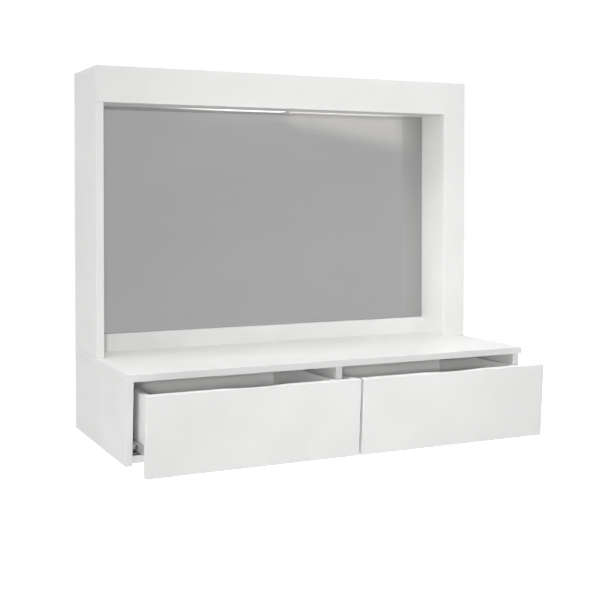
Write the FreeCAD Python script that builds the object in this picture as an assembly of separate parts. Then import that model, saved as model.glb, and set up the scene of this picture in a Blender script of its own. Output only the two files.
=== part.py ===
import FreeCAD, Part
import os
from FreeCAD import Vector

# Wall-hung dressing table: a low cabinet with two drawers carries a deep mirror surround.
# Millimetres. The wall is the plane y = 0, the front faces -Y, +X is right, +Z is up.
# The origin is the middle of the row of wall-screw holes, on the wall.

# Overall sizes
unit_width = 1000.0
unit_height = 870.0
top_depth = 460.0
base_height = 198.0        # underside of the side boards to the top of the table
frame_depth = 205.0
beam_height = 84.0
post_width = 64.0
niche_depth = 110.0        # fascia front to mirror glass

# Board stock
board = 16.0
frame_board = 18.0         # left upright of the surround
drawer_board = 12.0
thin_board = 3.0
edge_round = 1.0
groove_depth = 5.0
tongue = 4.5
groove_play = 0.2

# Base cabinet
top_overhang = 12.0
front_slant = 12.0         # how far the front leans back towards its bottom edge
bottom_raise = 6.0
bottom_setback = 2.0
hanging_rail_height = 80.0
wall_hole_spacing = 800.0
wall_hole_radius = 3.5

# Drawers
drawers_open = 96.0        # both stand this far out as modelled
front_reveal = 10.0        # side board's front edge left showing beside a front
front_split = 6.0
front_top_gap = 12.0
front_gap = 1.5            # between a closed front and the cabinet edge
scoop_width = 150.0
scoop_depth = 2.5
box_lift = 10.0            # bottom board up to the drawer sides
box_headroom = 26.0        # drawer sides up to the table's underside
box_rear_gap = 24.0
drawer_bottom_lift = 10.0

# Roller runners
runner_gap = 12.5
rail_gauge = 1.2
rail_drop = 6.0
rail_inset = 4.0
rail_rear_gap = 18.0
rail_lip_cutback = 34.0
capture_gap = 2.8
roller_radius = 9.5
roller_inset = 14.0
roll_gap = 0.3
track_clearance = 4.3
pin_radius = 2.0
pin_play = 0.05
pin_flange_radius = 3.4
pin_shoulder = 1.0
pin_head = 1.2
pin_head_clearance = 0.9
roller_side_play = 0.2
roller_edge_round = 0.6
rail_leg = 10.0
rail_screw_inset = 60.0

# Mirror
glass = 4.0
tape = 1.0
tape_width = 20.0
tape_count = 4
mirror_edge_gap = 1.0
mirror_tuck = 10.0         # pane hidden above the soffit's lower face
mirror_rail_height = 42.0

# Light under the beam
profile_width = 17.0
profile_height = 8.0
profile_wall = 1.2
profile_play = 0.1
profile_margin = 4.0       # soffit rear edge to the profile
diffuser_thickness = 1.2
strip_width = 10.0
strip_thickness = 1.5
joiner_length = 12.0
joiner_offset = 47.0       # right of the middle of the niche
lead_radius = 2.0
lead_hole_radius = 4.0
lead_bend = 15.0
lead_drop = 26.0           # lead below the surround's top board
driver_length = 160.0
driver_height = 45.0
driver_depth = 22.0
driver_round = 3.0
driver_drop = 190.0        # top of the driver below the surround's top board
driver_ear = 14.0
driver_ear_thickness = 3.0
inlet_radius = 4.0
inlet_length = 12.0
inlet_inset = 24.0         # in from the driver's left end

# Hangers
hanger_width = 24.0
hanger_height = 50.0
hanger_gauge = 2.0
hanger_inset = 60.0
hanger_entry_radius = 5.5
hanger_slot_radius = 3.0
hanger_slot_rise = 14.0
hanger_pocket_depth = 8.0
hanger_pocket_margin = 2.0
hanger_screw_inset = 6.0

# Fasteners
hole_play = 0.1
cam_radius = 7.5
cam_depth = 12.5
cam_setback = 34.0
cam_bolt_radius = 3.0
small_cam_radius = 6.0
small_cam_depth = 9.0
small_cam_setback = 24.0
small_cam_bolt_radius = 2.2
bolt_grip = 11.0
long_screw_radius = 2.5
long_screw_head_radius = 4.0
long_screw_head = 3.0
long_screw_length = 45.0
small_screw_radius = 1.7
small_screw_head_radius = 3.4
small_screw_head = 1.2
small_screw_length = 11.0
joint_inset = 60.0         # fasteners in from the front or rear end of a board
bumper_radius = 2.0
bumper_thickness = 1.2
bumper_inset = 30.0

# Levels and planes worked out from the sizes above
half = unit_width / 2
inner = half - board
underside = -(base_height - board - hanging_rail_height / 2)
table_z = underside + base_height
table_under = table_z - board
hanging_rail_bottom = table_under - hanging_rail_height
bottom_z = underside + bottom_raise
bottom_top = bottom_z + board
frame_top_z = underside + unit_height
frame_under = frame_top_z - board
beam_z = frame_top_z - beam_height
fascia_front = -frame_depth
fascia_back = fascia_front + board
left_inner = -half + frame_board
post_inner = half - post_width
middle = (left_inner + post_inner) / 2
joiner_x = middle + joiner_offset
mirror_front = fascia_front + niche_depth
mirror_back = mirror_front + glass
backboard_front = mirror_back + tape
backboard_back = backboard_front + board
soffit_back = mirror_front - mirror_edge_gap
profile_back = soffit_back - profile_margin
profile_front = profile_back - profile_width
profile_top = beam_z + profile_height
mirror_bottom = table_z + mirror_rail_height
mirror_top = beam_z + mirror_tuck
slant_rate = front_slant / (base_height - board)

# Levels of the drawers and runners
box_bottom = bottom_top + box_lift
box_top = table_under - box_headroom
rail_bottom = box_bottom - rail_drop
rear_axle_z = rail_bottom + rail_gauge + roll_gap + roller_radius
track_under = rear_axle_z + roller_radius + track_clearance
track_top = track_under + rail_gauge
front_axle_z = track_under - roll_gap - roller_radius
rail_top = track_top + capture_gap + rail_gauge
roller_width = (runner_gap - 2 * rail_gauge - pin_shoulder - 2 * roller_side_play
                - pin_head - pin_head_clearance)

right = Vector(1, 0, 0)
left = Vector(-1, 0, 0)
back = Vector(0, 1, 0)
front = Vector(0, -1, 0)
up = Vector(0, 0, 1)
down = Vector(0, 0, -1)


def cabinet_front(z):
    # The slanted plane of the cabinet's front edges, as y at height z
    return -(top_depth - top_overhang - front_slant) - slant_rate * (z - underside)


def drawer_plane(z):
    # Inner face of the drawer fronts, parallel to the cabinet's front edges
    return cabinet_front(z) - front_gap - drawers_open


rail_front = cabinet_front(rail_bottom) + rail_inset
rail_rear = -board - rail_rear_gap
box_rear = -board - box_rear_gap - drawers_open
front_axle_y = rail_front + roller_inset
rear_axle_y = box_rear - roller_inset


def box(x, y, z):
    # A block between two x, two y and two z values, in either order
    low = Vector(min(x), min(y), min(z))
    return Part.makeBox(abs(x[1] - x[0]), abs(y[1] - y[0]), abs(z[1] - z[0]), low)


def rod(start, axis, radius, length):
    return Part.makeCylinder(radius, length, start, axis)


def side_board(outline, x):
    # A board cut to an outline of (y, z) points, between two x values
    points = [Vector(min(x), y, z) for y, z in outline]
    face = Part.Face(Part.makePolygon(points + points[:1]))
    return face.extrude(Vector(abs(x[1] - x[0]), 0, 0))


def eased(shape):
    return shape.makeFillet(edge_round, shape.Edges)


def drilled(shape, cutters):
    # Takes out every cutter that reaches the board
    hits = [cutter for cutter in cutters if cutter.BoundBox.intersect(shape.BoundBox)]
    return shape.cut(hits) if hits else shape


def merged(pieces):
    return pieces[0].fuse(pieces[1:]).removeSplitter()


def cam_connector(seat, into, towards, thickness, cam):
    # A cam let into a board's face at seat, and its bolt into the next board; solids, then holes
    radius, depth, setback, bolt_radius = cam
    heart = seat + into * (thickness / 2)
    length = setback + bolt_grip
    bolt = rod(heart, towards, bolt_radius, length)
    bolt_hole = rod(heart, towards, bolt_radius + hole_play, length + hole_play)
    disc = rod(seat, into, radius, depth).cut(bolt_hole)
    disc_hole = rod(seat, into, radius + hole_play, depth + hole_play)
    return [disc, bolt], [disc_hole, bolt_hole]


def screw(seat, into, size):
    # A flat-headed screw flush with the surface at seat; the solid, then its hole
    radius, head_radius, head, length = size
    solid = merged([rod(seat, into, head_radius, head), rod(seat, into, radius, length)])
    wide = rod(seat, into, head_radius + hole_play, head)
    hole = merged([wide, rod(seat, into, radius + hole_play, length + hole_play)])
    return solid, hole


big_cam = (cam_radius, cam_depth, cam_setback, cam_bolt_radius)
small_cam = (small_cam_radius, small_cam_depth, small_cam_setback, small_cam_bolt_radius)
long_screw = (long_screw_radius, long_screw_head_radius, long_screw_head, long_screw_length)
small_screw = (small_screw_radius, small_screw_head_radius, small_screw_head, small_screw_length)


def base_connectors():
    # Where the cabinet's boards meet: seat, way into the board, way to the next board
    joints = []
    cam_z = table_under - cam_setback
    front_y = cabinet_front(underside) + joint_inset
    rear_y = -board - joint_inset
    for side, outward in ((-1, left), (1, right)):
        for y in (front_y, rear_y):
            joints.append((Vector(side * inner, y, cam_z), outward, up, board))
            joints.append((Vector(side * (inner - cam_setback), y, bottom_z), up, outward, board))
        joints.append((Vector(side * (inner - cam_setback), -board, 0), back, outward, board))
    for y in (front_y, rear_y):
        joints.append((Vector(-board / 2, y, cam_z), right, up, board))
    return joints


def frame_connectors():
    # Where the surround's boards meet, all inside the beam, in the post or behind the mirror
    joints = []
    foot_z = table_z + cam_setback
    head_z = frame_under - cam_setback
    hidden_y = backboard_back / 2
    post_side = half - board
    post_return = post_inner + board
    waist_z = (table_z + beam_z) / 2
    for z, way in ((foot_z, down), (head_z, up)):
        joints.append((Vector(left_inner, hidden_y, z), left, way, frame_board))
        joints.append((Vector(post_side, hidden_y, z), right, way, board))
        joints.append((Vector(post_return, hidden_y, z), left, way, board))
    for x in (left_inner + joint_inset, middle, post_inner - joint_inset):
        joints.append((Vector(x, fascia_back + cam_setback, frame_under), up, front, board))
    for z in (waist_z, table_z + joint_inset):
        joints.append((Vector(post_return, fascia_back + cam_setback, z), left, front, board))
        joints.append((Vector(post_side, fascia_back + cam_setback, z), right, front, board))
    soffit_y = (fascia_back + profile_front) / 2
    rail_z = frame_under - hanging_rail_height / 2
    for x, way, shift in ((left_inner, left, cam_setback), (post_inner, right, -cam_setback)):
        joints.append((Vector(x + shift, soffit_y, beam_z + board), down, way, board))
        joints.append((Vector(x + shift, -board, rail_z), back, way, board))
        for z in (table_z + joint_inset, waist_z):
            joints.append((Vector(x + shift, backboard_back, z), front, way, board))
    return joints


def long_screws():
    # Up through the table into the backboard, the mirror's rail and the post's return board,
    # and up through the bottom board into the divider
    spots = []
    for x in (left_inner + joint_inset, middle / 2 - joint_inset, post_inner - 2 * joint_inset):
        spots.append(Vector(x, backboard_front + board / 2, table_under))
    for x in (left_inner + 2 * joint_inset, post_inner - joint_inset):
        spots.append(Vector(x, backboard_front - board / 2, table_under))
    spots.append(Vector(post_inner + board / 2, fascia_back + joint_inset, table_under))
    spots.append(Vector(0, cabinet_front(underside) + 2 * joint_inset, bottom_z))
    spots.append(Vector(0, -board - 2 * joint_inset, bottom_z))
    return [screw(spot, up, long_screw) for spot in spots]


hanger_spots = (left_inner + hanger_inset, post_inner - hanger_inset)
hanger_z = frame_under - hanging_rail_height / 2
driver_top = frame_under - driver_drop
driver_x = (joiner_x - driver_length / 2, joiner_x + driver_length / 2)
lead_y = backboard_back + driver_depth / 2
lead_z = frame_under - lead_drop
profile_middle = (profile_front + profile_back) / 2


def hanger_screws():
    reach = hanger_height / 2 - hanger_screw_inset
    seats = [Vector(x, 0, hanger_z + rise) for x in hanger_spots for rise in (-reach, reach)]
    return [screw(seat, front, small_screw) for seat in seats]


def driver_screws():
    seats = []
    for x in (driver_x[0] - driver_ear / 2, driver_x[1] + driver_ear / 2):
        seats.append(Vector(x, backboard_back + driver_ear_thickness, driver_top - driver_height / 2))
    return [screw(seat, front, small_screw) for seat in seats]


def cabinet_rail_screws(face, inward):
    # Through a cabinet rail's web into the board behind it, heads flush with the web
    z = (rail_bottom + rail_top) / 2
    seats = []
    for y in (rail_front + rail_screw_inset, rail_rear - rail_screw_inset):
        seats.append(Vector(face + inward.x * rail_gauge, y, z))
    return [screw(seat, inward * -1, small_screw) for seat in seats]


# The four runner places: name, cabinet face, way towards the drawer
runners = (
    ("left_drawer_left", -inner, right),
    ("left_drawer_right", -board / 2, left),
    ("right_drawer_left", board / 2, right),
    ("right_drawer_right", inner, left),
)

connector_sets = [cam_connector(*joint, big_cam) for joint in base_connectors() + frame_connectors()]
connector_solids = [solid for solids, holes in connector_sets for solid in solids]
connector_holes = [hole for solids, holes in connector_sets for hole in holes]
long_screw_sets = long_screws()
small_screw_sets = hanger_screws() + driver_screws()
for name, face, inward in runners:
    small_screw_sets += cabinet_rail_screws(face, inward)
screw_holes = [hole for solid, hole in long_screw_sets + small_screw_sets]
fixed_holes = connector_holes + screw_holes

back_y = (-(board + thin_board) / 2, -(board - thin_board) / 2)


def back_groove():
    # One cutter for the grooves that hold the thin back on its four sides
    reach = inner + groove_depth
    y = (back_y[0] - groove_play, back_y[1] + groove_play)
    return box((-reach, reach), y, (bottom_top - groove_depth, hanging_rail_bottom + groove_depth))


def base_side(side):
    outline = [
        (0, underside),
        (cabinet_front(underside), underside),
        (cabinet_front(table_under), table_under),
        (0, table_under),
    ]
    shape = eased(side_board(outline, (side * inner, side * half)))
    return drilled(shape.cut(back_groove()), fixed_holes)


def base_divider():
    outline = [
        (-board, bottom_top),
        (cabinet_front(bottom_top), bottom_top),
        (cabinet_front(table_under), table_under),
        (-board, table_under),
    ]
    return drilled(side_board(outline, (-board / 2, board / 2)), fixed_holes)


def base_bottom():
    front_y = cabinet_front(bottom_z) + bottom_setback
    shape = box((-inner, inner), (front_y, 0), (bottom_z, bottom_top))
    return drilled(shape.cut(back_groove()), fixed_holes)


def base_top():
    shape = eased(box((-half, half), (-top_depth, 0), (table_under, table_z)))
    return drilled(shape, fixed_holes)


def base_hanging_rail():
    shape = box((-inner, inner), (-board, 0), (hanging_rail_bottom, table_under)).cut(back_groove())
    for x in (-wall_hole_spacing / 2, wall_hole_spacing / 2):
        shape = shape.cut(rod(Vector(x, -board, 0), back, wall_hole_radius, board))
    return drilled(shape, fixed_holes)


def base_back():
    reach = inner + tongue
    return box((-reach, reach), back_y, (bottom_top - tongue, hanging_rail_bottom + tongue))


def frame_left_side():
    # Stands on the table, notched at the top for the fascia
    outline = [
        (0, table_z),
        (fascia_front, table_z),
        (fascia_front, beam_z),
        (fascia_back, beam_z),
        (fascia_back, frame_under),
        (0, frame_under),
    ]
    shape = eased(side_board(outline, (-half, left_inner)))
    return drilled(shape, fixed_holes)


def frame_fascia():
    # Beam and right post cut from one board
    outline = [
        (-half, beam_z),
        (-half, frame_top_z),
        (half, frame_top_z),
        (half, table_z),
        (post_inner, table_z),
        (post_inner, beam_z),
    ]
    points = [Vector(x, fascia_front, z) for x, z in outline]
    face = Part.Face(Part.makePolygon(points + points[:1]))
    return drilled(eased(face.extrude(Vector(0, board, 0))), fixed_holes)


def frame_top():
    shape = eased(box((-half, half), (fascia_back, 0), (frame_under, frame_top_z)))
    return drilled(shape, fixed_holes)


def frame_right_side():
    shape = box((half - board, half), (fascia_back, 0), (table_z, frame_under))
    return drilled(shape, fixed_holes)


def frame_right_return():
    shape = box((post_inner, post_inner + board), (fascia_back, 0), (table_z, frame_under))
    return drilled(shape, fixed_holes)


def frame_soffit():
    # Board under the beam, with a groove for the light and a hole for its lead
    shape = box((left_inner, post_inner), (fascia_back, soffit_back), (beam_z, beam_z + board))
    y = (profile_front - profile_play, profile_back + profile_play)
    shape = shape.cut(box((left_inner, post_inner), y, (beam_z, profile_top)))
    lead_hole = rod(Vector(joiner_x, profile_middle, profile_top), up, lead_hole_radius, board)
    return drilled(shape, fixed_holes + [lead_hole])


def frame_hanging_rail():
    shape = box((left_inner, post_inner), (-board, 0), (frame_under - hanging_rail_height, frame_under))
    for x in hanger_spots:
        shape = shape.cut(hanger_blank(x))
        wide = hanger_entry_radius + hanger_pocket_margin
        low = hanger_z - hanger_slot_rise / 2 - wide
        high = hanger_z + hanger_slot_rise / 2 + wide
        deep = -hanger_gauge - hanger_pocket_depth
        shape = shape.cut(box((x - wide, x + wide), (deep, 0), (low, high)))
    return drilled(shape, fixed_holes)


def hanger_blank(x):
    tall = hanger_height / 2
    return box((x - hanger_width / 2, x + hanger_width / 2), (-hanger_gauge, 0),
               (hanger_z - tall, hanger_z + tall))


def wall_hangers():
    # Steel plates with a keyhole: the screw's head goes in low and drops into the narrow slot above
    plates = []
    for x in hanger_spots:
        low = Vector(x, -hanger_gauge, hanger_z - hanger_slot_rise / 2)
        high = low + up * hanger_slot_rise
        entry = rod(low, back, hanger_entry_radius, hanger_gauge)
        slot_end = rod(high, back, hanger_slot_radius, hanger_gauge)
        slot = box((x - hanger_slot_radius, x + hanger_slot_radius), (-hanger_gauge, 0), (low.z, high.z))
        plates.append(drilled(hanger_blank(x).cut([entry, slot_end, slot]), screw_holes))
    return Part.makeCompound(plates)


def mirror_backboard():
    shape = box((left_inner, post_inner), (backboard_front, backboard_back), (table_z, frame_under))
    lead_hole = rod(Vector(joiner_x, backboard_front, lead_z), back, lead_hole_radius, board)
    return drilled(shape, fixed_holes + [lead_hole])


def mirror_rail():
    shape = box((left_inner, post_inner), (backboard_front - board, backboard_front), (table_z, mirror_bottom))
    return drilled(shape, fixed_holes)


mirror_x = (left_inner + mirror_edge_gap, post_inner - mirror_edge_gap)


def mirror_pane():
    return box(mirror_x, (mirror_front, mirror_back), (mirror_bottom, mirror_top))


def mirror_tapes():
    pitch = (mirror_x[1] - mirror_x[0]) / tape_count
    strips = []
    for index in range(tape_count):
        x = mirror_x[0] + pitch * (index + 0.5)
        z = (mirror_bottom + tape_width, mirror_top - tape_width)
        strips.append(box((x - tape_width / 2, x + tape_width / 2), (mirror_back, backboard_front), z))
    return Part.makeCompound(strips)


def light_spans():
    gap = joiner_length / 2
    return {"left": (left_inner, joiner_x - gap), "right": (joiner_x + gap, post_inner)}


def light_profile(span):
    shell = box(span, (profile_front, profile_back), (beam_z, profile_top))
    y = (profile_front + profile_wall, profile_back - profile_wall)
    return shell.cut(box(span, y, (beam_z, profile_top - profile_wall)))


def light_diffuser(span):
    y = (profile_front + profile_wall, profile_back - profile_wall)
    return box(span, y, (beam_z, beam_z + diffuser_thickness))


def light_strips():
    top = profile_top - profile_wall
    y = (profile_middle - strip_width / 2, profile_middle + strip_width / 2)
    return Part.makeCompound([box(span, y, (top - strip_thickness, top)) for span in light_spans().values()])


def light_joiner():
    span = (joiner_x - joiner_length / 2, joiner_x + joiner_length / 2)
    return box(span, (profile_front, profile_back), (beam_z, profile_top))


def light_lead():
    # From the driver's top, up, through the backboard and down into the joiner
    turn = lead_bend * (1 - 0.5 ** 0.5)
    corner_y = profile_middle
    start = Vector(joiner_x, lead_y, driver_top)
    bend_in = Vector(joiner_x, lead_y, lead_z - lead_bend)
    bend_mid = Vector(joiner_x, lead_y - turn, lead_z - turn)
    bend_out = Vector(joiner_x, lead_y - lead_bend, lead_z)
    dip_in = Vector(joiner_x, corner_y + lead_bend, lead_z)
    dip_mid = Vector(joiner_x, corner_y + turn, lead_z - turn)
    dip_out = Vector(joiner_x, corner_y, lead_z - lead_bend)
    end = Vector(joiner_x, corner_y, profile_top)
    path = Part.Wire([
        Part.LineSegment(start, bend_in).toShape(),
        Part.Arc(bend_in, bend_mid, bend_out).toShape(),
        Part.LineSegment(bend_out, dip_in).toShape(),
        Part.Arc(dip_in, dip_mid, dip_out).toShape(),
        Part.LineSegment(dip_out, end).toShape(),
    ])
    section = Part.Wire(Part.makeCircle(lead_radius, start, up))
    return path.makePipeShell([section], True, False)


def light_driver():
    # Moulded case with a fixing ear at each end and a blind inlet for the supply in its rear face
    z = (driver_top - driver_height, driver_top)
    case = box(driver_x, (backboard_back, backboard_back + driver_depth), z)
    case = case.makeFillet(driver_round, [edge for edge in case.Edges if on_driver_face(edge)])
    ear_z = (driver_top - driver_height / 2 - driver_ear / 2, driver_top - driver_height / 2 + driver_ear / 2)
    ears = box((driver_x[0] - driver_ear, driver_x[1] + driver_ear),
               (backboard_back, backboard_back + driver_ear_thickness), ear_z)
    mouth = Vector(driver_x[0] + inlet_inset, backboard_back + driver_depth, driver_top - driver_height / 2)
    inlet = rod(mouth, front, inlet_radius, inlet_length)
    return drilled(merged([case, ears]).cut(inlet), screw_holes)


def on_driver_face(edge):
    # Edges around the driver's rear face, away from the backboard
    return edge.BoundBox.YMin > backboard_back + driver_ear_thickness


def across(face, inward, near, far):
    # An x span in a runner gap, measured from the cabinet's face towards the drawer
    return (face + inward.x * near, face + inward.x * far)


def runner_pin(foot, way, reach):
    # Shoulder, shank and head for one roller
    shoulder = rod(foot, way, pin_flange_radius, pin_shoulder)
    shank = rod(foot, way, pin_radius, reach)
    head_foot = foot + way * (reach - pin_head)
    return [shoulder, shank, rod(head_foot, way, pin_flange_radius, pin_head)]


pin_reach = pin_shoulder + 2 * roller_side_play + roller_width + pin_head


def cabinet_rail(face, inward):
    # Channel on the cabinet: web, floor for the rear roller, lip that keeps it down, front roller's pin
    y = (rail_front, rail_rear)
    shelf = across(face, inward, 0, rail_gauge + pin_reach)
    web = box(across(face, inward, 0, rail_gauge), y, (rail_bottom, rail_top))
    floor = box(shelf, y, (rail_bottom, rail_bottom + rail_gauge))
    lip = box(shelf, (rail_front + rail_lip_cutback, rail_rear), (rail_top - rail_gauge, rail_top))
    foot = Vector(face + inward.x * rail_gauge, front_axle_y, front_axle_z)
    shape = merged([web, floor, lip] + runner_pin(foot, inward, pin_reach))
    return drilled(shape, screw_holes)


def drawer_rail(face, inward, holes):
    # Angle round the drawer side's lower edge, track that rides on the front roller, rear roller's pin
    y = (drawer_plane(box_bottom) + rail_inset, box_rear)
    web_x = across(face, inward, runner_gap - rail_gauge, runner_gap)
    web = box(web_x, y, (box_bottom - rail_gauge, track_top))
    leg = box(across(face, inward, runner_gap - rail_gauge, runner_gap + rail_leg), y,
              (box_bottom - rail_gauge, box_bottom))
    track = box(across(face, inward, rail_gauge + pin_shoulder, runner_gap), y, (track_under, track_top))
    foot = Vector(face + inward.x * (runner_gap - rail_gauge), rear_axle_y, rear_axle_z)
    shape = merged([web, leg, track] + runner_pin(foot, inward * -1, pin_reach))
    return drilled(shape, holes)


def roller(start, way):
    wheel = rod(start, way, roller_radius, roller_width)
    rims = [edge for edge in wheel.Edges if isinstance(edge.Curve, Part.Circle)]
    wheel = wheel.makeFillet(roller_edge_round, rims)
    return wheel.cut(rod(start, way, pin_radius + pin_play, roller_width))


def front_roller(face, inward):
    near = rail_gauge + pin_shoulder + roller_side_play
    return roller(Vector(face + inward.x * near, front_axle_y, front_axle_z), inward)


def rear_roller(face, inward):
    near = runner_gap - rail_gauge - pin_shoulder - roller_side_play
    return roller(Vector(face + inward.x * near, rear_axle_y, rear_axle_z), inward * -1)


class Drawer:
    # One drawer, from the two cabinet faces beside it and the two ends of its front
    def __init__(self, opening, front_x):
        self.opening = opening
        self.faces = ((opening[0], right), (opening[1], left))
        self.front_x = front_x
        self.outer = (opening[0] + runner_gap, opening[1] - runner_gap)
        self.inside = (self.outer[0] + drawer_board, self.outer[1] - drawer_board)
        self.floor_z = box_bottom + drawer_bottom_lift
        self.floor_top = self.floor_z + thin_board
        self.connectors = [cam_connector(*joint, small_cam) for joint in self.front_joints()]
        self.screws = [screw(seat, way, long_screw) for seat, way in self.back_seats()]
        for face, inward in self.faces:
            self.screws += [screw(seat, inward, small_screw) for seat in self.rail_seats(face, inward)]
        self.holes = [hole for solid, hole in self.screws]
        self.holes += [hole for solids, holes in self.connectors for hole in holes]

    def front_joints(self):
        # Cams in the sides' inner faces, bolts forward into the slanted front
        joints = []
        for x, outward in ((self.inside[0], left), (self.inside[1], right)):
            for z in (self.floor_top + small_cam_setback, box_top - small_cam_setback):
                seat = Vector(x, drawer_plane(z) + small_cam_setback, z)
                joints.append((seat, outward, front, drawer_board))
        return joints

    def back_seats(self):
        # Through the sides into the ends of the back
        seats = []
        y = box_rear - drawer_board / 2
        for x, way in ((self.outer[0], right), (self.outer[1], left)):
            for z in (track_top + small_cam_setback, box_top - small_cam_setback):
                seats.append((Vector(x, y, z), way))
        return seats

    def rail_seats(self, face, inward):
        z = box_bottom + drawer_bottom_lift / 2
        x = face + inward.x * (runner_gap - rail_gauge)
        ends = (drawer_plane(box_bottom) + rail_screw_inset, box_rear - rail_screw_inset)
        return [Vector(x, y, z) for y in ends]

    def floor_groove(self):
        y = (drawer_plane(self.floor_z) - groove_depth, box_rear)
        x = (self.inside[0] - groove_depth, self.inside[1] + groove_depth)
        return box(x, y, (self.floor_z - groove_play, self.floor_top + groove_play))

    def front(self):
        # A board on the slant, its long top edge dipped in the middle for the fingers
        low = (drawer_plane(underside), underside)
        top_z = table_under - front_top_gap
        high = (drawer_plane(top_z), top_z)
        out = Vector(0, -1, -slant_rate).normalize() * board
        outline = [low, high, (high[0] + out.y, high[1] + out.z), (low[0] + out.y, low[1] + out.z)]
        shape = eased(side_board(outline, self.front_x))
        radius = (scoop_width ** 2 / 4 + scoop_depth ** 2) / (2 * scoop_depth)
        centre = Vector(sum(self.front_x) / 2, high[0] + board, top_z + radius - scoop_depth)
        scoop = rod(centre, front, radius, board - out.y + board)
        return drilled(shape.cut([scoop, self.floor_groove()]), self.holes)

    def side(self, x):
        outline = [
            (box_rear, box_bottom),
            (drawer_plane(box_bottom), box_bottom),
            (drawer_plane(box_top), box_top),
            (box_rear, box_top),
        ]
        return drilled(side_board(outline, x).cut(self.floor_groove()), self.holes)

    def left_side(self):
        return self.side((self.outer[0], self.inside[0]))

    def right_side(self):
        return self.side((self.inside[1], self.outer[1]))

    def back(self):
        shape = box(self.inside, (box_rear - drawer_board, box_rear), (self.floor_top, box_top))
        return drilled(shape, self.holes)

    def bottom(self):
        x = (self.inside[0] - tongue, self.inside[1] + tongue)
        y = (drawer_plane(self.floor_z) - tongue, box_rear)
        return box(x, y, (self.floor_z, self.floor_top))

    def bumpers(self):
        # Soft discs on the front's inner face, where the closed front lands on the cabinet's edges
        discs = []
        inward = Vector(0, 1, slant_rate).normalize()
        for end, face in zip(self.front_x, self.opening):
            for z in (bottom_top + bumper_inset, table_under - bumper_inset):
                seat = Vector((end + face) / 2, drawer_plane(z), z)
                discs.append(rod(seat, inward, bumper_radius, bumper_thickness))
        return Part.makeCompound(discs)

    def fasteners(self):
        cams = [solid for solids, holes in self.connectors for solid in solids]
        return Part.makeCompound(cams + [solid for solid, hole in self.screws])


def save(name, shape):
    shape.exportStep("parts/" + name + ".step")


os.makedirs("parts", exist_ok=True)

save("base_left_side", base_side(-1))
save("base_right_side", base_side(1))
save("base_divider", base_divider())
save("base_bottom", base_bottom())
save("base_top", base_top())
save("base_hanging_rail", base_hanging_rail())
save("base_back", base_back())
save("frame_left_side", frame_left_side())
save("frame_fascia", frame_fascia())
save("frame_top", frame_top())
save("frame_right_side", frame_right_side())
save("frame_right_return", frame_right_return())
save("frame_soffit", frame_soffit())
save("frame_hanging_rail", frame_hanging_rail())
save("wall_hangers", wall_hangers())
save("mirror_backboard", mirror_backboard())
save("mirror_rail", mirror_rail())
save("mirror_pane", mirror_pane())
save("mirror_tapes", mirror_tapes())
for end, span in light_spans().items():
    save("light_" + end + "_profile", light_profile(span))
    save("light_" + end + "_diffuser", light_diffuser(span))
save("light_strips", light_strips())
save("light_joiner", light_joiner())
save("light_lead", light_lead())
save("light_driver", light_driver())
save("cam_connectors", Part.makeCompound(connector_solids))
save("long_screws", Part.makeCompound([solid for solid, hole in long_screw_sets]))
save("small_screws", Part.makeCompound([solid for solid, hole in small_screw_sets]))

drawers = {
    "left_drawer": Drawer((-inner, -board / 2), (-half + front_reveal, -front_split / 2)),
    "right_drawer": Drawer((board / 2, inner), (front_split / 2, half - front_reveal)),
}
for name, drawer in drawers.items():
    save(name + "_front", drawer.front())
    save(name + "_left_side", drawer.left_side())
    save(name + "_right_side", drawer.right_side())
    save(name + "_back", drawer.back())
    save(name + "_bottom", drawer.bottom())
    save(name + "_bumpers", drawer.bumpers())
    save(name + "_fasteners", drawer.fasteners())
for name, face, inward in runners:
    drawer = drawers["left_drawer" if name.startswith("left_drawer") else "right_drawer"]
    save(name + "_cabinet_rail", cabinet_rail(face, inward))
    save(name + "_drawer_rail", drawer_rail(face, inward, drawer.holes))
    save(name + "_front_roller", front_roller(face, inward))
    save(name + "_rear_roller", rear_roller(face, inward))
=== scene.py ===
import math

import bmesh
import bpy
import numpy as np
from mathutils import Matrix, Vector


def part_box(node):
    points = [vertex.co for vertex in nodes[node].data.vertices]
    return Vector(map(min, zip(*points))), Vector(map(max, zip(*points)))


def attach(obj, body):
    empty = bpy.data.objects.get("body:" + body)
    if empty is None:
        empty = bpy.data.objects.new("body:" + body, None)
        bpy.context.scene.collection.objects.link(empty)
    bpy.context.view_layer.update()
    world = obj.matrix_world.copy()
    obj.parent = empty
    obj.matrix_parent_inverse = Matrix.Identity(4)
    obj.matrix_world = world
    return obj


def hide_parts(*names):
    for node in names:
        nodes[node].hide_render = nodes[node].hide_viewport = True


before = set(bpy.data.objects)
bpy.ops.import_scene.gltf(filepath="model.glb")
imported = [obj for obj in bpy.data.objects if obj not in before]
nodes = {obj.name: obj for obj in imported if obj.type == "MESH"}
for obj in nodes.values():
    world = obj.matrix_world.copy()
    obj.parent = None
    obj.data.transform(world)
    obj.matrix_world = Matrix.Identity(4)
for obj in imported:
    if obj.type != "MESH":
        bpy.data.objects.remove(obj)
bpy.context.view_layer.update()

# Wall-hung dressing table: white laminate boards, a grey mirror in a deep surround, two open drawers.
# Metres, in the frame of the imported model: the wall is y = 0, the front faces -Y.

print("frame loaded:", len(nodes), "nodes")


# Camera

cameraView = {
    "place": (-1.140, -2.665, 0.430),
    "turn": 25.15,              # degrees to the right of straight on
    "tilt": 1.0,                # degrees down
    "focalPixels": 1092.9,
    "imagePixels": 600.0,
    "shift": -0.1425,           # looks down without a tilt, so that uprights stay nearly parallel
    "sensor": 36.0,             # millimetres
}


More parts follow.
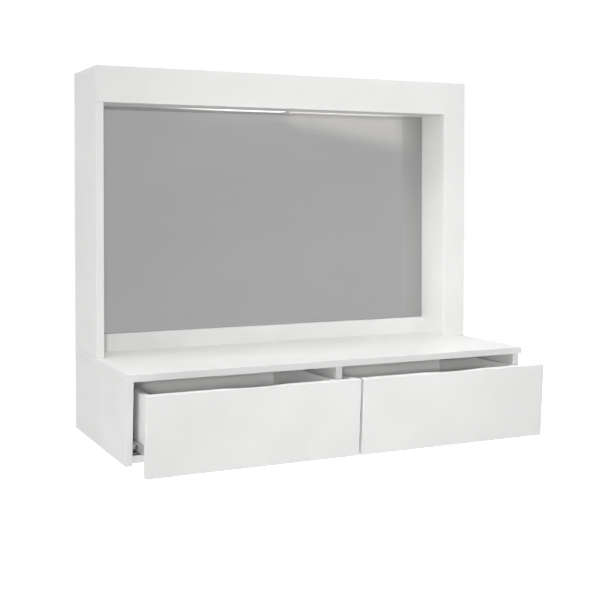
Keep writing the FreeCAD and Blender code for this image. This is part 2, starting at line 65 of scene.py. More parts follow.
def makeCamera(view):
    data = bpy.data.cameras.new("viewCamera")
    data.sensor_width = view["sensor"]
    data.lens = view["focalPixels"] / view["imagePixels"] * view["sensor"]
    data.shift_y = view["shift"]
    camera = bpy.data.objects.new("viewCamera", data)
    camera.location = view["place"]
    camera.rotation_euler = (math.radians(90 - view["tilt"]), 0, -math.radians(view["turn"]))
    bpy.context.scene.collection.objects.link(camera)
    bpy.context.scene.camera = camera


makeCamera(cameraView)
print("camera placed")


# Shader maths: a socket that takes Python's operators, and the tree that its nodes go into

noiseKinds = {                  # detail and roughness of each kind of noise
    "tooth": (2.0, 0.5),
    "grain": (3.0, 0.5),
    "cloud": (4.0, 0.5),
    "streak": (3.0, 0.6),
    "smear": (4.0, 0.6),
    "fibre": (5.0, 0.7),
}
middleBand = (0.35, 0.65)       # parts of a noise's range that a ramp spreads out
wideBand = (0.3, 0.7)
facingLimit = 0.5               # a face looks along an axis if its normal reaches this far along it


class Wire:
    def __init__(self, finish, socket):
        self.finish = finish
        self.socket = socket

    def maths(self, operation, first, second):
        made = self.finish.add("ShaderNodeMath", {"operation": operation}, {0: first, 1: second})
        return made.out(0)

    def __add__(self, other):
        return self.maths("ADD", self, other)

    __radd__ = __add__

    def __sub__(self, other):
        return self.maths("SUBTRACT", self, other)

    def __rsub__(self, other):
        return self.maths("SUBTRACT", other, self)

    def __mul__(self, other):
        return self.maths("MULTIPLY", self, other)

    __rmul__ = __mul__

    def __gt__(self, other):
        return self.maths("GREATER_THAN", self, other)

    def __lt__(self, other):
        return self.maths("LESS_THAN", self, other)


class Made:
    def __init__(self, finish, node):
        self.finish = finish
        self.node = node

    def out(self, name):
        return Wire(self.finish, self.node.outputs[name])


class Finish:
    # One node tree: a material's, or the world's
    def __init__(self, owner):
        owner.use_nodes = True
        self.owner = owner
        self.tree = owner.node_tree
        self.tree.nodes.clear()

    def add(self, kind, settings=None, sockets=None):
        node = self.tree.nodes.new(kind)
        for name, value in (settings or {}).items():
            setattr(node, name, value)
        for name, value in (sockets or {}).items():
            if isinstance(value, Wire):
                self.tree.links.new(value.socket, node.inputs[name])
            else:
                node.inputs[name].default_value = value
        return Made(self, node)

    def place(self):
        return self.add("ShaderNodeTexCoord").out("Object")

    def facing(self, axis):
        return self.parts(self.add("ShaderNodeTexCoord").out("Normal"))[axis]

    def parts(self, vector):
        split = self.add("ShaderNodeSeparateXYZ", None, {0: vector})
        return split.out(0), split.out(1), split.out(2)

    def stretched(self, scale):
        return self.add("ShaderNodeMapping", None, {"Vector": self.place(), "Scale": scale}).out(0)

    def noise(self, kind, scale=1.0, vector=None):
        detail, rough = noiseKinds[kind]
        sockets = {"Vector": vector or self.place(), "Scale": scale}
        sockets.update({"Detail": detail, "Roughness": rough})
        return self.add("ShaderNodeTexNoise", None, sockets).out(0)

    def ramp(self, value, low, high, start=0.0, end=1.0):
        sockets = {0: value, 1: low, 2: high, 3: start, 4: end}
        return self.add("ShaderNodeMapRange", {"interpolation_type": "SMOOTHSTEP"}, sockets).out(0)

    def blend(self, mask, first, second):
        first = first if isinstance(first, Wire) else (*first, 1)
        second = second if isinstance(second, Wire) else (*second, 1)
        return self.add("ShaderNodeMix", {"data_type": "RGBA"}, {0: mask, 6: first, 7: second}).out(2)

    def bump(self, height, depth):
        return self.add("ShaderNodeBump", None, {"Height": height, "Distance": depth}).out(0)

    def surface(self, sockets):
        shader = self.add("ShaderNodeBsdfPrincipled", None, sockets)
        self.add("ShaderNodeOutputMaterial", None, {"Surface": shader.out(0)})
        return self.owner


def newFinish(name):
    return Finish(bpy.data.materials.new(name))


def toned(colour, share):
    return tuple(share * part for part in colour)


# White laminate: a satin sheet with a fine orange peel, a little clouded, faint wiping marks.
# Where the sheet ends at the wall the board's core shows: pressed chips in tan and brown.

laminate = {
    "white": (0.803, 0.800, 0.793),
    "shade": 0.963,             # share of the white in the clouds
    "cloudScale": 7.0,
    "peelScale": 620.0,
    "peelDepth": 0.00005,
    "gloss": (0.30, 0.42),
    "specular": 0.45,
    "wipeScale": (3.0, 3.0, 26.0),
    "drawerShare": 0.99,        # drawer boards are a touch greyer
    "coreFrom": -0.0004,        # y of the raw rear edges
    "coreRough": 0.45,          # added to the sheet's roughness
    "corePits": 6.0,            # depth of the pits in peel depths
    "chipScale": 260.0,
    "chipGrain": 900.0,
    "chipShare": 0.7,           # the rest of the core's tone is its grain
    "chipPale": (0.52, 0.36, 0.20),
    "chipDark": (0.27, 0.16, 0.08),
}


def laminateSheet(name, rawRear=False, share=1.0):
    look = laminate
    paint = newFinish(name)
    cloud = paint.noise("cloud", look["cloudScale"])
    wipe = paint.noise("streak", vector=paint.stretched(look["wipeScale"]))
    peel = paint.noise("tooth", look["peelScale"])
    white = toned(look["white"], share)
    colour = paint.blend(paint.ramp(cloud, *middleBand), white, toned(white, look["shade"]))
    rough = paint.ramp(wipe, *wideBand, *look["gloss"])
    height = peel
    if rawRear:
        raw = paint.parts(paint.place())[1] > look["coreFrom"]
        cells = {"Vector": paint.place(), "Scale": look["chipScale"]}
        chips = paint.parts(paint.add("ShaderNodeTexVoronoi", None, cells).out("Color"))[0]
        grain = paint.noise("grain", look["chipGrain"])
        tone = chips * look["chipShare"] + grain * (1 - look["chipShare"])
        colour = paint.blend(raw, colour, paint.blend(tone, look["chipDark"], look["chipPale"]))
        rough = rough + raw * look["coreRough"]
        height = peel + raw * tone * look["corePits"]
    return paint.surface({
        "Base Color": colour,
        "Roughness": rough,
        "Specular IOR Level": look["specular"],
        "Normal": paint.bump(height, look["peelDepth"]),
    })


# Hardboard: white paint on the side that shows, bare brown fibre on the other, a pressed grain on both

hardboard = {
    "white": (0.792, 0.788, 0.772),
    "pale": 0.95,               # share of the white in the flecks
    "fleckScale": 60.0,
    "fleckBand": (0.4, 0.7),
    "fibrePale": (0.30, 0.19, 0.10),
    "fibreDark": (0.17, 0.10, 0.05),
    "fibreScale": 420.0,
    "pressScale": 700.0,
    "pressDepth": 0.00006,
    "gloss": (0.48, 0.58),
    "bareRough": 0.3,           # added where the fibre is bare
}


def paintedHardboard(name, bareAxis, bareSign):
    look = hardboard
    paint = newFinish(name)
    bare = paint.facing(bareAxis) * bareSign > facingLimit
    fibre = paint.noise("fibre", look["fibreScale"])
    brown = paint.blend(paint.ramp(fibre, *wideBand), look["fibreDark"], look["fibrePale"])
    fleck = paint.noise("smear", look["fleckScale"])
    dull = toned(look["white"], look["pale"])
    white = paint.blend(paint.ramp(fleck, *look["fleckBand"]), look["white"], dull)
    return paint.surface({
        "Base Color": paint.blend(bare, white, brown),
        "Roughness": paint.ramp(fleck, *wideBand, *look["gloss"]) + bare * look["bareRough"],
        "Normal": paint.bump(paint.noise("tooth", look["pressScale"]), look["pressDepth"]),
    })


# Silvered glass: it gives back the pale room as an even grey. Under the right part of the light it has
# a breath of haze in its roughness and a painted glow in its colour, lighter where the light falls.
# Its rear and edges are backing paint.

silver = {
    "grey": (0.440, 0.440, 0.438),
    # painted glow: a lighter beige colour where the light above falls on the glass
    "greyDeep": (0.429, 0.430, 0.430),
    "hazeAndPaintedGlow": (0.590, 0.583, 0.564),
    "hazeGlowUp": (0.594, 0.658),   # z where the haze and the painted glow start and are full, at x = 0
    "hazeGlowSlant": 0.17,          # how much lower that is for each metre to the right
    "hazeGlowAlong": (0.0, 0.05),   # x where it starts and is full
    "hazeGlowEnd": (0.33, 0.44),    # x where it fades and is gone
    "hazeRough": 0.10,          # added to the roughness in the haze
    "smearScale": (2.2, 2.2, 5.0),
    "shineBand": (0.3, 0.75),
    "gloss": (0.015, 0.05),
    "metal": 0.78,              # the rest is thin dust on the glass
    "backing": (0.20, 0.215, 0.22),
    "backingRough": 0.5,
}


def silveredGlass(name):
    look = silver
    glass = newFinish(name)
    x, _, z = glass.parts(glass.place())
    front = glass.facing(1) < -facingLimit
    smear = glass.noise("smear", vector=glass.stretched(look["smearScale"]))
    along = glass.ramp(x, *look["hazeGlowAlong"]) * (1 - glass.ramp(x, *look["hazeGlowEnd"]))
    # Painted glow: under the right part of the light the colour turns lighter, as if lit there; the
    # same mask raises the roughness for the haze
    hazeAndPaintedGlow = glass.ramp(z + x * look["hazeGlowSlant"], *look["hazeGlowUp"]) * along
    grey = glass.blend(glass.ramp(smear, *middleBand), look["grey"], look["greyDeep"])
    shine = glass.ramp(smear, *look["shineBand"], *look["gloss"]) + hazeAndPaintedGlow * look["hazeRough"]
    return glass.surface({
        "Base Color": glass.blend(front, look["backing"], glass.blend(hazeAndPaintedGlow, grey, look["hazeAndPaintedGlow"])),
        "Metallic": front * look["metal"],
        "Roughness": front * shine + (1 - front) * look["backingRough"],
    })


# Opal diffuser: a milky strip lit from within. The left one comes up towards the joiner, the right
# one is fainter and goes down at its far end.

opal = {
    "colour": (0.86, 0.86, 0.84),
    "deepen": 0.97,             # share of the colour in the tooth
    "gloss": (0.32, 0.42),
    "glow": 2.6,
    "warm": (1.0, 0.985, 0.955),
    "toothScale": 1500.0,
    "toothDepth": 0.00002,
    "leftFade": (0.14, 0.40),   # from the left end: where the light is dim, and where it is full
    "leftLevels": (0.02, 1.0),
    "rightFade": (0.01, 0.16),  # the same from the right end
    "rightLevels": (0.03, 0.36),
}


def opalDiffuser(name, dimAt, fullAt, levels):
    look = opal
    strip = newFinish(name)
    tooth = strip.ramp(strip.noise("tooth", look["toothScale"]), *wideBand)
    lit = strip.ramp(strip.parts(strip.place())[0], min(dimAt, fullAt), max(dimAt, fullAt))
    if dimAt > fullAt:
        lit = 1 - lit
    return strip.surface({
        "Base Color": strip.blend(tooth, look["colour"], toned(look["colour"], look["deepen"])),
        "Roughness": strip.ramp(tooth, 0.0, 1.0, *look["gloss"]),
        "Emission Color": strip.blend(lit, *[toned(look["warm"], level) for level in levels]),
        "Emission Strength": look["glow"],
        "Normal": strip.bump(tooth, look["toothDepth"]),
    })


# Moulded plastics, rubber and foam share one build: fine tooth, slight blotch, chosen gloss.
# The share deepen tones the colour in the blotches.

roughSwing = 0.06               # how far the tooth moves the roughness either way


def mouldedPlastic(name, look):
    skin = newFinish(name)
    blotch = skin.noise("cloud", look["blotchScale"])
    tooth = skin.noise("tooth", look["toothScale"])
    deep = toned(look["colour"], look["deepen"])
    gloss = (look["rough"] - roughSwing, look["rough"] + roughSwing)
    return skin.surface({
        "Base Color": skin.blend(skin.ramp(blotch, *middleBand), look["colour"], deep),
        "Roughness": skin.ramp(tooth, *wideBand, *gloss),
        "Normal": skin.bump(tooth, look["toothDepth"]),
    })


driverLook = {"colour": (0.78, 0.78, 0.76), "deepen": 0.95, "rough": 0.55, "blotchScale": 60.0,
              "toothScale": 1200.0, "toothDepth": 0.00006}
joinerLook = {"colour": (0.070, 0.068, 0.066), "deepen": 0.8, "rough": 0.5, "blotchScale": 200.0,
              "toothScale": 1800.0, "toothDepth": 0.00004}
nylonLook = {"colour": (0.46, 0.46, 0.45), "deepen": 0.94, "rough": 0.4, "blotchScale": 150.0,
             "toothScale": 1500.0, "toothDepth": 0.00003}
capLook = {"colour": (0.79, 0.788, 0.775), "deepen": 0.97, "rough": 0.42, "blotchScale": 150.0,
           "toothScale": 1500.0, "toothDepth": 0.00003}
jacketLook = {"colour": (0.025, 0.025, 0.026), "deepen": 0.7, "rough": 0.45, "blotchScale": 120.0,
              "toothScale": 1600.0, "toothDepth": 0.00003}
bumperLook = {"colour": (0.66, 0.67, 0.67), "deepen": 0.9, "rough": 0.25, "blotchScale": 300.0,
              "toothScale": 2000.0, "toothDepth": 0.00002}
foamLook = {"colour": (0.78, 0.78, 0.74), "deepen": 0.85, "rough": 0.9, "blotchScale": 250.0,
            "toothScale": 900.0, "toothDepth": 0.0003}
stripLook = {"colour": (0.80, 0.76, 0.58), "deepen": 0.9, "rough": 0.5, "blotchScale": 120.0,
             "toothScale": 900.0, "toothDepth": 0.00004}


# Metals: fine marks, drawn out along the profiles and even on the rest, with blotches in the coat

coatBand = (0.35, 0.7)          # part of the blotches' range that deepens the colour


def workedMetal(name, look):
    metal = newFinish(name)
    streak = metal.noise("streak", vector=metal.stretched(look["streakScale"]))
    blotch = metal.noise("cloud", look["blotchScale"])
    deep = toned(look["colour"], look["deepen"])
    return metal.surface({
        "Base Color": metal.blend(metal.ramp(blotch, *coatBand), look["colour"], deep),
        "Metallic": look["metallic"],
        "Roughness": metal.ramp(streak, *wideBand, *look["gloss"]),
        "Normal": metal.bump(streak, look["streakDepth"]),
    })


anodisedLook = {"colour": (0.72, 0.72, 0.72), "deepen": 0.82, "metallic": 1.0, "gloss": (0.28, 0.4),
                "blotchScale": 30.0, "streakScale": (8.0, 1500.0, 1500.0), "streakDepth": 0.00001}
zincLook = {"colour": (0.60, 0.61, 0.62), "deepen": 0.82, "metallic": 1.0, "gloss": (0.22, 0.42),
            "blotchScale": 320.0, "streakScale": (700.0, 700.0, 700.0), "streakDepth": 0.00003}
runnerLook = {"colour": (0.41, 0.41, 0.405), "deepen": 0.82, "metallic": 0.15, "gloss": (0.36, 0.5),
              "blotchScale": 90.0, "streakScale": (1100.0, 1100.0, 1100.0), "streakDepth": 0.00005}


def dress(names, material):
    for name in names:
        slots = nodes[name].data.materials
        slots.clear()
        slots.append(material)


def nodesWith(ending):
    return [name for name in nodes if name.endswith(ending)]


rawEdged = ["base_left_side", "base_right_side", "base_bottom", "base_top", "frame_left_side",
            "frame_right_side", "frame_right_return", "frame_top"]
wholeSheet = ["base_divider", "base_hanging_rail", "frame_fascia", "frame_soffit", "frame_hanging_rail",
              "mirror_backboard", "mirror_rail", "left_drawer_front", "right_drawer_front"]
drawerBoards = [name for name in nodes
                if "_drawer_" in name and name.endswith(("_side", "_back"))]
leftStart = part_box("light_left_diffuser")[0].x
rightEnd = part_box("light_right_diffuser")[1].x
zincPlate = workedMetal("zincPlate", zincLook)

dress(rawEdged, laminateSheet("laminateRawRear", rawRear=True))
dress(wholeSheet, laminateSheet("laminateWhole"))
dress(drawerBoards, laminateSheet("laminateDrawer", share=laminate["drawerShare"]))
dress(["base_back"], paintedHardboard("hardboardBack", bareAxis=1, bareSign=1))
dress(["left_drawer_bottom", "right_drawer_bottom"],
      paintedHardboard("hardboardDrawer", bareAxis=2, bareSign=-1))
dress(["mirror_pane"], silveredGlass("silveredGlass"))
dress(["mirror_tapes"], mouldedPlastic("foamTape", foamLook))
dress(["light_left_profile", "light_right_profile"], workedMetal("anodised", anodisedLook))
dress(["light_left_diffuser"],
      opalDiffuser("opalLeft", *[leftStart + far for far in opal["leftFade"]], opal["leftLevels"]))
dress(["light_right_diffuser"],
      opalDiffuser("opalRight", *[rightEnd - far for far in opal["rightFade"]], opal["rightLevels"]))
dress(["light_strips"], mouldedPlastic("lightStrip", stripLook))
dress(["light_joiner"], mouldedPlastic("joinerPlastic", joinerLook))
dress(["light_lead"], mouldedPlastic("leadJacket", jacketLook))
dress(["light_driver"], mouldedPlastic("driverCase", driverLook))
dress(nodesWith("_bumpers"), mouldedPlastic("bumperRubber", bumperLook))
dress(nodesWith("_cabinet_rail") + nodesWith("_drawer_rail"), workedMetal("runnerSteel", runnerLook))
dress(nodesWith("_roller"), mouldedPlastic("rollerNylon", nylonLook))
dress(["wall_hangers"], zincPlate)
print("finishes on")


# Hardware: cams, their bolts and the screws are made again in detail, each where its solid lies

weldGrain = 1e6                 # corners closer than a micrometre are one
endShare = 0.04                 # share of a piece's length that counts as its end
evenEnds = 0.1                  # ends whose widths differ by less than this share are alike
leastRows = 2                   # fewest steps down a thread


def looseSolids(name):
    # Corner points of each separate solid in a node. Triangles that share a corner take the lowest
    # number among their corners, again and again, until every solid has one number.
    mesh = nodes[name].data
    spots = np.empty(len(mesh.vertices) * 3)
    mesh.vertices.foreach_get("co", spots)
    spots = spots.reshape(-1, 3)
    mesh.calc_loop_triangles()
    corners = np.empty(len(mesh.loop_triangles) * 3, dtype=np.int32)
    mesh.loop_triangles.foreach_get("vertices", corners)
    same = np.unique(np.round(spots * weldGrain), axis=0, return_inverse=True)[1].ravel()
    triangles = same[corners].reshape(-1, 3)
    label = np.arange(same.max() + 1)
    settled = False
    while not settled:
        fresh = label.copy()
        np.minimum.at(fresh, triangles, label[triangles].min(axis=1)[:, None])
        fresh = fresh[fresh]
        settled = np.array_equal(fresh, label)
        label = fresh
    return [spots[label[same] == number] for number in np.unique(label)]


class Seat:
    # Where a turned piece goes: the middle of its outer face, the way that face looks, and how long
    # and wide the solid is
    def __init__(self, points, axis, sign):
        low = points.min(axis=0)
        high = points.max(axis=0)
        self.length = high[axis] - low[axis]
        self.outward = np.eye(3)[axis] * sign
        self.spot = (low + high + self.outward * (high - low)) / 2
        across = np.delete(points - self.spot, axis, axis=1)
        reach = np.hypot(across[:, 0], across[:, 1])
        depth = (self.spot - points) @ self.outward
        self.wide = reach[depth < self.length * endShare].max()
        self.slim = reach[depth > self.length * (1 - endShare)].max()


def isCam(points):
    # Two long sides make a disc, one long side makes a rod
    short, middle, long = np.sort(np.ptp(points, axis=0))
    return long - middle < middle - short


def camSeat(points):
    # A cam lies along its shortest side, and the bolt's hole is nearer to its blind end
    low = points.min(axis=0)
    high = points.max(axis=0)
    axis = int((high - low).argmin())
    blind = np.sign(points.mean(axis=0) - (low + high) / 2)[axis]
    return Seat(points, axis, -blind)


def rodSeats(points):
    # Both ends of a screw or a bolt, which lies along its longest side
    axis = int((points.max(axis=0) - points.min(axis=0)).argmax())
    return [Seat(points, axis, sign) for sign in (-1, 1)]


def turned(profile, sides, drive=None, thread=None):
    # Row i holds radius r and height h; the point at angle a is (r cos a, r sin a, h), z outward.
    # A drive sinks the face rows: full depth where both |x| and |y| lie within the cross, easing out.
    # A thread cuts the radius by its depth times how far h / pitch + a / turn is from a whole number.
    radius, height, isFace, isThread = np.array(profile, dtype=float).T[:, :, None]
    angle = np.linspace(0, 2 * np.pi, sides, endpoint=False)[None, :]
    x = radius * np.cos(angle)
    y = radius * np.sin(angle)
    z = height + 0 * angle
    if drive:
        slim = np.minimum(np.abs(x), np.abs(y))
        far = np.maximum(np.abs(x), np.abs(y))
        arm = np.clip((drive["width"] - slim) / drive["ease"], 0, 1)
        reach = np.clip((drive["reach"] - far) / drive["ease"], 0, 1)
        z = z - isFace * drive["depth"] * arm * reach
    if thread:
        turns = height / thread["pitch"] + angle / (2 * np.pi)
        cut = 1 - isThread * thread["depth"] * 2 * np.abs(turns - np.round(turns))
        x = x * cut
        y = y * cut
    points = np.stack([x, y, z], axis=-1).reshape(-1, 3)
    row = np.arange(len(profile) - 1)[:, None] * sides
    here = np.arange(sides)[None, :]
    after = (here + 1) % sides
    faces = np.stack([row + here, row + sides + here, row + sides + after, row + after], axis=-1)
    return points, faces.reshape(-1, 4)


def faceRows(radius, count):
    # Rows across a flat face, from its middle outwards
    return [(radius * step / count, 0.0, 1, 0) for step in range(count + 1)]


def plainRows(*pairs):
    # Rows given as radius and depth below the face
    return [(radius, -depth, 0, 0) for radius, depth in pairs]


def threadRows(radius, start, end, pitch, perPitch):
    # Rows down a threaded stretch, from start to end below the face
    count = max(leastRows, int(perPitch * (end - start) / pitch))
    return [(radius, -depth, 0, 1) for depth in np.linspace(start, end, count + 1)]


screwLook = {
    "sides": 20,
    "faceRows": 9,
    "rim": 0.10,                # share of the head's radius
    "cone": 0.55,
    "pitch": 0.8,               # share of the shank's radius
    "root": 0.34,               # share of it that the thread cuts away
    "perPitch": 4,
    "point": 2.0,               # length of the point in shank radii
    "pointWide": 0.45,          # share of the shank's radius halfway down the point
    "reach": 0.58,              # the cross, in shares of the head's radius
    "width": 0.17,
    "depth": 0.42,
    "ease": 0.12,
}


def screwShape(seat):
    # Flat head with a cross, a cone under it, then a thread that narrows to a point
    look = screwLook
    head = seat.wide
    shank = seat.slim
    rim = head * look["rim"]
    cone = head * look["cone"]
    pitch = shank * look["pitch"]
    point = shank * look["point"]
    rows = faceRows(head - rim, look["faceRows"])
    rows += plainRows((head, rim), (shank, rim + cone))
    rows += threadRows(shank, rim + cone + pitch, seat.length - point, pitch, look["perPitch"])
    rows += plainRows((shank * look["pointWide"], seat.length - point / 2), (0.0, seat.length))
    drive = {part: head * look[part] for part in ("reach", "width", "depth", "ease")}
    return turned(rows, look["sides"], drive, {"pitch": pitch, "depth": look["root"]})


camLook = {
    "sides": 40,
    "faceRows": 16,
    "rim": 0.06,                # shares of the cam's radius
    "waist": 0.90,
    "lip": 0.22,                # share of the cam's depth above and below the waist
    "reach": 0.50,              # the cross, in shares of the radius
    "width": 0.115,
    "depth": 0.26,
    "ease": 0.06,
}


def camShape(seat):
    # Disc with a cross, a bevelled rim, a narrower waist round the bolt's slot and a foot
    look = camLook
    radius = seat.wide
    rim = radius * look["rim"]
    waist = radius * look["waist"]
    lip = seat.length * look["lip"]
    foot = seat.length - lip
    rows = faceRows(radius - rim, look["faceRows"])
    rows += plainRows((radius, rim), (radius, lip))
    rows += plainRows((waist, lip + rim), (waist, foot - rim))
    rows += plainRows((radius, foot), (radius, seat.length - rim))
    rows += plainRows((radius - rim, seat.length), (0.0, seat.length))
    drive = {part: radius * look[part] for part in ("reach", "width", "depth", "ease")}
    return turned(rows, look["sides"], drive)


boltLook = {
    "sides": 20,
    "ballRows": 9,
    "ballTurn": 2.4,            # radians of the ball's outline
    "grip": 0.25,               # share of the length that is thread
    "neck": 0.55,               # shares of the bolt's radius
    "shaft": 0.86,
    "tip": 0.6,
    "pitch": 0.65,
    "root": 0.30,               # share of the radius that the thread cuts away
    "perPitch": 5,
    "neckFrom": 2.1,            # bolt radii below the ball's top
    "neckTo": 3.0,
    "shaftFrom": 3.3,
    "shaftTo": 0.6,             # bolt radii above the thread
    "collarFrom": 0.5,
}


def boltShape(seat):
    # A ball that the cam holds, a thin neck, the shaft, a collar and the thread in the next board
    look = boltLook
    full = seat.wide
    neck = full * look["neck"]
    shaft = full * look["shaft"]
    pitch = full * look["pitch"]
    grip = seat.length * (1 - look["grip"])
    around = np.linspace(0, look["ballTurn"], look["ballRows"])
    rows = plainRows(*zip(full * np.sin(around), full * (1 - np.cos(around))))
    rows += plainRows((neck, look["neckFrom"] * full), (neck, look["neckTo"] * full))
    rows += plainRows((shaft, look["shaftFrom"] * full), (shaft, grip - look["shaftTo"] * full))
    rows += plainRows((full, grip - look["collarFrom"] * full), (full, grip))
    rows += threadRows(full, grip + pitch, seat.length - pitch, pitch, look["perPitch"])
    rows += plainRows((full * look["tip"], seat.length), (0.0, seat.length))
    return turned(rows, look["sides"], None, {"pitch": pitch, "depth": look["root"]})


capSize = {
    "radius": 0.0088,
    "rise": 0.0014,
    "sides": 40,
    "rows": 10,
}


def capShape():
    # Low dome: height is the rise times the square root of 1 - (r / radius) to the fourth
    out = np.sin(np.linspace(0, np.pi / 2, capSize["rows"]))
    rise = capSize["rise"] * np.sqrt(1 - out ** 4)
    return turned(plainRows(*zip(capSize["radius"] * out, -rise), (0.0, 0.0)), capSize["sides"])


def placed(shape, seat):
    # Turns a shape's z to the seat's outward way and sets it on the seat's spot
    points, faces = shape
    aside = np.abs(np.roll(seat.outward, 1))
    turn = np.stack([aside, np.cross(seat.outward, aside), seat.outward])
    return points @ turn + seat.spot, faces


creaseAngle = 32                # degrees, sharper edges stay sharp
mergeReach = 1e-7               # corners of the poles closer than this are one


def makePiece(name, shapes, material, body, replaced=()):
    # All shapes in one mesh, with poles closed and faces outward
    starts = np.cumsum([0] + [len(points) for points, faces in shapes[:-1]])
    corners = np.concatenate([points for points, faces in shapes])
    quads = np.concatenate([faces + start for (points, faces), start in zip(shapes, starts)])
    mesh = bpy.data.meshes.new(name)
    mesh.from_pydata(corners.tolist(), [], quads.tolist())
    work = bmesh.new()
    work.from_mesh(mesh)
    bmesh.ops.remove_doubles(work, verts=work.verts, dist=mergeReach)
    bmesh.ops.recalc_face_normals(work, faces=work.faces)
    work.to_mesh(mesh)
    work.free()
    mesh.polygons.foreach_set("use_smooth", np.ones(len(mesh.polygons), dtype=bool))
    mesh.set_sharp_from_angle(angle=math.radians(creaseAngle))
    mesh.materials.append(material)
    piece = bpy.data.objects.new(name, mesh)
    bpy.context.scene.collection.objects.link(piece)
    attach(piece, body)
    if replaced:
        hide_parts(*replaced)
    print("made", name, "with", len(mesh.polygons), "faces")


def hardwareOf(name):
    # Detailed shapes for each solid of a fastener node. A rod as wide at both ends is a cam's bolt,
    # with its ball at the cam; any other rod is a screw, with its head at the wider end.
    solids = looseSolids(name)
    cams = [camSeat(points) for points in solids if isCam(points)]
    shapes = [placed(camShape(cam), cam) for cam in cams]
    for points in solids:
        if isCam(points):
            continue
        ends = rodSeats(points)
        if math.isclose(ends[0].wide, ends[0].slim, rel_tol=evenEnds):
            seat = min(ends, key=lambda end: min(np.linalg.norm(end.spot - cam.spot) for cam in cams))
            shapes.append(placed(boltShape(seat), seat))
        else:
            seat = max(ends, key=lambda end: end.wide)
            shapes.append(placed(screwShape(seat), seat))
    return shapes, cams


cabinetCams, camSeats = hardwareOf("cam_connectors")
makePiece("cabinetCams", cabinetCams, zincPlate, "cabinet", ["cam_connectors"])
for name, node in (("longScrews", "long_screws"), ("smallScrews", "small_screws")):
    makePiece(name, hardwareOf(node)[0], zincPlate, "cabinet", [node])
for side in ("left", "right"):
    body = side + "_drawer"
    node = body + "_fasteners"
    makePiece(side + "DrawerFixings", hardwareOf(node)[0], zincPlate, body, [node])

# White caps over the cams that show beside the drawers
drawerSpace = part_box("base_divider")
seenCams = [cam for cam in camSeats
            if cam.outward[0] and drawerSpace[0].z < cam.spot[2] < drawerSpace[1].z]
makePiece("camCaps", [placed(capShape(), cam) for cam in seenCams],
          mouldedPlastic("capPlastic", capLook), "cabinet")


# Stage: a pale floor under the hung table, an even pale room, soft lamps

stage = {
    "floorDrop": 0.75,          # floor below the table top
    "floorSize": 40.0,
    "floorWhite": 0.80,
    "floorSeen": 1.02,          # how bright the far floor is to the lens
    "room": 0.22,               # how bright the room is to the object
    "roomMirrored": 0.84,       # how bright the room and the floor are to the mirror
}

# The top lamp hangs high, so that the surround's top is lit little more than the table
lamps = {
    "lens": {"place": (-1.6, -3.53, 0.57), "aim": (0.25, -0.5, -0.05),
             "size": 0.22, "watts": 6.05, "spread": 60},
    "left": {"place": (-5.6, -1.7, 1.4), "aim": (0.0, -0.2, 0.2),
             "size": 3.6, "watts": 118.0, "spread": 180},
    "top": {"place": (0.0, -0.6, 6.0), "aim": (0.0, -0.35, 0.0),
            "size": 3.0, "watts": 300.0, "spread": 180},
    "right": {"place": (1.6, -3.2, 0.9), "aim": (0.25, -0.2, 1.0),
              "size": 0.6, "watts": 2.15, "spread": 50},
    "niche": {"place": (-0.55, -0.62, 0.34), "aim": (0.44, -0.15, 0.28),
              "size": 0.25, "watts": 0.13, "spread": 36},
}


def seenRays(paint):
    # Whether a ray comes straight from the lens or through glass, and whether from a reflection
    path = paint.add("ShaderNodeLightPath")
    direct = path.out("Is Camera Ray")
    return direct.maths("MAXIMUM", direct, path.out("Is Transmission Ray")), path.out("Is Glossy Ray")


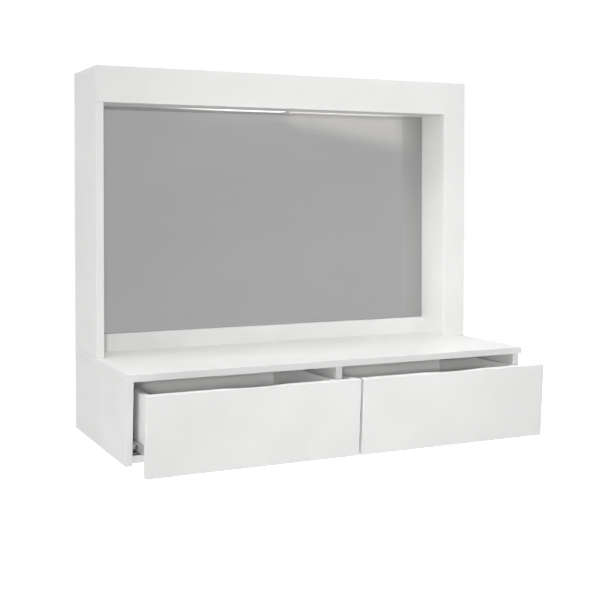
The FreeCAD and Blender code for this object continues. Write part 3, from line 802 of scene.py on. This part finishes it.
def makeFloor(look):
    # Clear from below, so that the underside of the hung table can be looked at
    reach = look["floorSize"] / 2
    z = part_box("base_top")[1].z - look["floorDrop"]
    corners = [(-reach, -reach, z), (reach, -reach, z), (reach, reach, z), (-reach, reach, z)]
    mesh = bpy.data.meshes.new("floor")
    mesh.from_pydata(corners, [], [(0, 1, 2, 3)])
    floor = bpy.data.objects.new("floor", mesh)
    bpy.context.scene.collection.objects.link(floor)
    paint = newFinish("floorPaint")
    pale = look["floorWhite"]
    matt = paint.add("ShaderNodeBsdfDiffuse", None, {"Color": (pale, pale, pale, 1)})
    direct, mirrored = seenRays(paint)
    far = pale * look["room"]   # the far floor has only the room's light
    lift = paint.add("ShaderNodeEmission", None, {"Strength": direct * (look["floorSeen"] - far)})
    lit = paint.add("ShaderNodeAddShader", None, {0: matt.out(0), 1: lift.out(0)})
    even = paint.add("ShaderNodeEmission", None, {"Strength": look["roomMirrored"]})
    above = paint.add("ShaderNodeMixShader", None, {0: mirrored, 1: lit.out(0), 2: even.out(0)})
    under = paint.add("ShaderNodeNewGeometry").out("Backfacing")
    clear = paint.add("ShaderNodeBsdfTransparent")
    seen = paint.add("ShaderNodeMixShader", None, {0: under, 1: above.out(0), 2: clear.out(0)})
    paint.add("ShaderNodeOutputMaterial", None, {"Surface": seen.out(0)})
    mesh.materials.append(paint.owner)


def makeRoom(look):
    # White to the lens, dimmer to the mirror, and dimmer still where it lights the object
    world = bpy.data.worlds.new("room")
    bpy.context.scene.world = world
    paint = Finish(world)
    direct, mirrored = seenRays(paint)
    room = look["room"]
    strength = direct * (1 - room) + mirrored * (look["roomMirrored"] - room) + room
    air = paint.add("ShaderNodeBackground", None, {"Color": (1, 1, 1, 1), "Strength": strength})
    paint.add("ShaderNodeOutputWorld", None, {"Surface": air.out(0)})


def makeLamp(name, look):
    data = bpy.data.lights.new(name, "AREA")
    data.shape = "SQUARE"
    data.size = look["size"]
    data.energy = look["watts"]
    data.spread = math.radians(look["spread"])
    lamp = bpy.data.objects.new(name, data)
    lamp.location = look["place"]
    way = np.subtract(look["aim"], look["place"])
    turn = math.atan2(way[0], way[1])
    drop = math.atan2(-way[2], math.hypot(way[0], way[1]))
    lamp.rotation_euler = (math.pi / 2 - drop, 0, -turn)
    lamp.visible_camera = False
    lamp.visible_glossy = False
    bpy.context.scene.collection.objects.link(lamp)


makeFloor(stage)
makeRoom(stage)
for lampName, lampLook in lamps.items():
    makeLamp(lampName, lampLook)
bpy.context.scene.view_settings.view_transform = "Standard"
print("stage lit")
